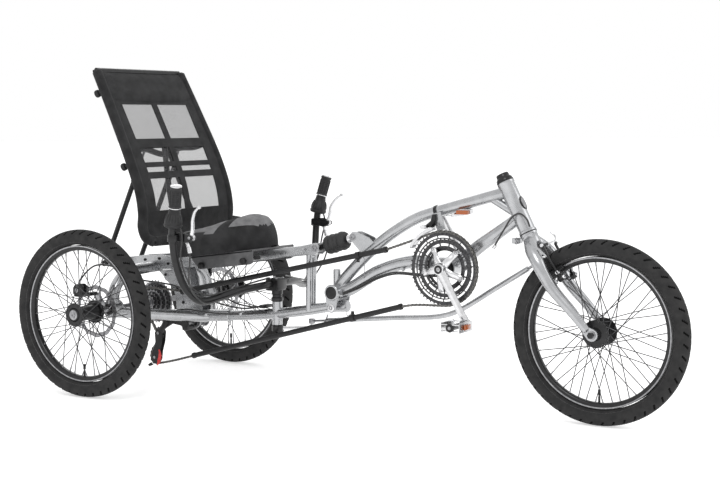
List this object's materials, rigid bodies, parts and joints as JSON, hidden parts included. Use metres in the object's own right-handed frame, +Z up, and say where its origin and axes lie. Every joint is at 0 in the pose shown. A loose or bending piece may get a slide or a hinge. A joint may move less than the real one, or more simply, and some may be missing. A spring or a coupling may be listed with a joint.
{
  "type": "adult tricycle",
  "caption": "Recumbent delta tricycle with a steered front wheel, two rear wheels, a sprung mid-frame pivot, under-seat steering and a reclining mesh seat.",
  "frame": {"origin": "on the ground, under the middle of the footprint", "axes": "+X forwards, towards the front wheel; +Y to the rider's left; +Z up"},
  "size_m": [2.008, 0.828, 0.993],
  "materials": {
    "silver_frame": "clear-coated satin silver",
    "polished_alloy": "polished",
    "drag_link_tube": "brushed",
    "steel": "worn bright steel",
    "black_metal": "black anodised, satin",
    "tyre": "matte tread rubber",
    "black_plastic": "moulded",
    "cable_housing": "smooth",
    "grip_rubber": "ribbed",
    "shock_boot": "ribbed bellows",
    "seat_mesh": "woven mesh",
    "cushion_fabric": "stretch cover over foam"
  },
  "bodies": {
    "rear_frame": {"rear_main_tube": "silver_frame", "upper_cross_tube": "silver_frame", "gusset_plates": "silver_frame", "seat_rail": "silver_frame", "pivot_clevis": "silver_frame", "seat_pan": "black_metal", "seat_cushion": "cushion_fabric", "brake_caliper_right": "black_metal", "brake_caliper_left": "black_metal", "rear_derailleur": "black_plastic", "chain_upper_rear": "black_plastic", "chain_lower_rear": "black_plastic", "rear_brake_cables": "cable_housing", "rear_gear_cable": "cable_housing"},
    "front_frame": {"head_tube": "silver_frame", "boom_top_tube": "silver_frame", "boom_lower_tube": "silver_frame", "front_derailleur": "steel", "chain_upper_front": "black_plastic", "chain_lower_front": "black_plastic", "front_cables": "cable_housing"},
    "fork": {"fork_crown": "silver_frame", "fork_blade_right": "silver_frame", "fork_blade_left": "silver_frame", "front_axle": "steel"},
    "front_wheel": {"front_tyre": "tyre", "front_rim": "black_metal", "front_hub": "black_metal"},
    "rear_wheel_right": {"rear_tyre_right": "tyre", "rear_rim_right": "black_metal", "rear_hub_right": "black_metal"},
    "rear_wheel_left": {"rear_tyre_left": "tyre", "rear_rim_left": "black_metal", "rear_hub_left": "black_metal"},
    "brake_arm_right": {"brake_arm_right": "black_metal"},
    "brake_arm_left": {"brake_arm_left": "black_metal"},
    "crankset": {"crank_arm_right": "polished_alloy", "crank_arm_left": "polished_alloy", "chainrings": "steel"},
    "pedal_right": {"pedal_right": "steel"},
    "pedal_left": {"pedal_left": "steel"},
    "cassette": {"cassette": "steel"},
    "jockey_upper": {"jockey_wheel_upper": "black_plastic"},
    "jockey_lower": {"jockey_wheel_lower": "black_plastic"},
    "handlebar": {"steering_mast": "black_metal", "handlebar_right": "black_metal", "handlebar_left": "black_metal", "grip_right": "grip_rubber", "grip_left": "grip_rubber"},
    "shifter_right": {"shifter_right": "black_plastic"},
    "shifter_left": {"shifter_left": "black_plastic"},
    "lever_right": {"lever_right": "polished_alloy"},
    "lever_left": {"lever_left": "polished_alloy"},
    "drag_link": {"drag_link": "drag_link_tube"},
    "shock_body": {"shock_body": "shock_boot"},
    "shock_shaft": {"shock_shaft": "steel"},
    "seat_back": {"seat_back_frame": "black_metal", "seat_back_cover": "seat_mesh"},
    "stay_lower": {"seat_stay_lower": "black_metal"},
    "stay_upper": {"seat_stay_upper": "steel"}
  },
  "joints": [
    {"name": "suspension", "type": "hinge", "parent": "rear_frame", "child": "front_frame", "pos_m": [-0.0797, 0, 0.318], "axis": [0, -1, 0], "range_deg": [0, 6], "stiffness_Nm_per_rad": 600, "springref_deg": -9.74},
    {"name": "steering", "type": "hinge", "parent": "front_frame", "child": "fork", "pos_m": [0.5398, 0, 0.5145], "axis": [-0.4503, 0, 0.8929], "range_deg": [-22, 22]},
    {"name": "front_wheel_spin", "type": "hinge", "parent": "fork", "child": "front_wheel", "pos_m": [0.751, 0, 0.253], "axis": [0, 1, 0], "continuous": true},
    {"name": "rear_wheel_right_spin", "type": "hinge", "parent": "rear_frame", "child": "rear_wheel_right", "pos_m": [-0.751, -0.371, 0.253], "axis": [0, 1, 0], "continuous": true},
    {"name": "rear_wheel_left_spin", "type": "hinge", "parent": "rear_frame", "child": "rear_wheel_left", "pos_m": [-0.751, 0.371, 0.253], "axis": [0, 1, 0], "continuous": true},
    {"name": "crank_spin", "type": "hinge", "parent": "front_frame", "child": "crankset", "pos_m": [0.306, 0, 0.41], "axis": [0, 1, 0], "continuous": true},
    {"name": "pedal_right_spin", "type": "hinge", "parent": "crankset", "child": "pedal_right", "pos_m": [0.391, -0.14, 0.2628], "axis": [0, 1, 0], "continuous": true},
    {"name": "pedal_left_spin", "type": "hinge", "parent": "crankset", "child": "pedal_left", "pos_m": [0.221, 0.14, 0.5572], "axis": [0, 1, 0], "continuous": true},
    {"name": "cassette_spin", "type": "hinge", "parent": "rear_frame", "child": "cassette", "pos_m": [-0.751, -0.046, 0.253], "axis": [0, 1, 0], "continuous": true},
    {"name": "jockey_upper_spin", "type": "hinge", "parent": "rear_frame", "child": "jockey_upper", "pos_m": [-0.721, -0.0475, 0.156], "axis": [0, 1, 0], "continuous": true},
    {"name": "jockey_lower_spin", "type": "hinge", "parent": "rear_frame", "child": "jockey_lower", "pos_m": [-0.737, -0.0475, 0.077], "axis": [0, 1, 0], "continuous": true},
    {"name": "handlebar_turn", "type": "hinge", "parent": "rear_frame", "child": "handlebar", "pos_m": [-0.3, 0, 0.3], "axis": [0, 0, 1], "range_deg": [-22, 22]},
    {"name": "drag_link_pivot", "type": "hinge", "parent": "handlebar", "child": "drag_link", "pos_m": [-0.2264, 0.08, 0.2107], "axis": [0, -0.0437, 0.999], "range_deg": [-25, 25]},
    {"name": "shifter_right_twist", "type": "hinge", "parent": "handlebar", "child": "shifter_right", "pos_m": [-0.3915, -0.382, 0.55], "axis": [0.2113, -0.065, 0.9753], "range_deg": [-40, 40]},
    {"name": "lever_right_pull", "type": "hinge", "parent": "handlebar", "child": "lever_right", "pos_m": [-0.345, -0.361, 0.495], "axis": [0, -1, 0], "range_deg": [0, 18], "stiffness_Nm_per_rad": 1.5, "springref_deg": -11.46},
    {"name": "brake_arm_right_swing", "type": "hinge", "parent": "fork", "child": "brake_arm_right", "pos_m": [0.658, -0.042, 0.4007], "axis": [-0.8391, 0, -0.544], "range_deg": [0, 5.2]},
    {"name": "shifter_left_twist", "type": "hinge", "parent": "handlebar", "child": "shifter_left", "pos_m": [-0.3915, 0.382, 0.55], "axis": [0.2113, 0.065, 0.9753], "range_deg": [-40, 40]},
    {"name": "lever_left_pull", "type": "hinge", "parent": "handlebar", "child": "lever_left", "pos_m": [-0.345, 0.361, 0.495], "axis": [0, -1, 0], "range_deg": [0, 18], "stiffness_Nm_per_rad": 1.5, "springref_deg": -11.46},
    {"name": "brake_arm_left_swing", "type": "hinge", "parent": "fork", "child": "brake_arm_left", "pos_m": [0.658, 0.042, 0.4007], "axis": [0.8391, 0, 0.544], "range_deg": [0, 5.2]},
    {"name": "shock_swing", "type": "hinge", "parent": "rear_frame", "child": "shock_body", "pos_m": [-0.146, 0, 0.446], "axis": [0, -1, 0], "range_deg": [0, 5.2]},
    {"name": "shock_travel", "type": "slide", "parent": "shock_body", "child": "shock_shaft", "axis": [0.9598, 0, 0.2806], "range_m": [-0.016, 0]},
    {"name": "recline", "type": "hinge", "parent": "rear_frame", "child": "seat_back", "pos_m": [-0.633, 0, 0.428], "axis": [0, -1, 0], "range_deg": [-6, 14]},
    {"name": "stay_swing", "type": "hinge", "parent": "rear_frame", "child": "stay_lower", "pos_m": [-0.909, 0, 0.373], "axis": [0, -1, 0], "range_deg": [-4, 9]},
    {"name": "stay_slide", "type": "slide", "parent": "stay_lower", "child": "stay_upper", "axis": [0.4229, 0, 0.9062], "range_m": [-0.058, 0.025]}
  ],
  "couplings": [
    {"joint": "handlebar_turn", "follows": "steering", "ratio": 0.97},
    {"joint": "drag_link_pivot", "follows": "steering", "ratio": -1.1},
    {"joint": "cassette_spin", "follows": "crank_spin", "ratio": 2},
    {"joint": "jockey_upper_spin", "follows": "crank_spin", "ratio": -4.25},
    {"joint": "jockey_lower_spin", "follows": "crank_spin", "ratio": 4.25},
    {"joint": "brake_arm_right_swing", "follows": "lever_left_pull", "ratio": 0.28},
    {"joint": "brake_arm_left_swing", "follows": "lever_left_pull", "ratio": 0.28},
    {"joint": "shock_swing", "follows": "suspension", "ratio": 0.83},
    {"joint": "shock_travel", "follows": "suspension", "m_per_rad": -0.142},
    {"joint": "stay_swing", "follows": "recline", "ratio": 0.608},
    {"joint": "stay_slide", "follows": "recline", "m_per_rad": -0.234}
  ]
}
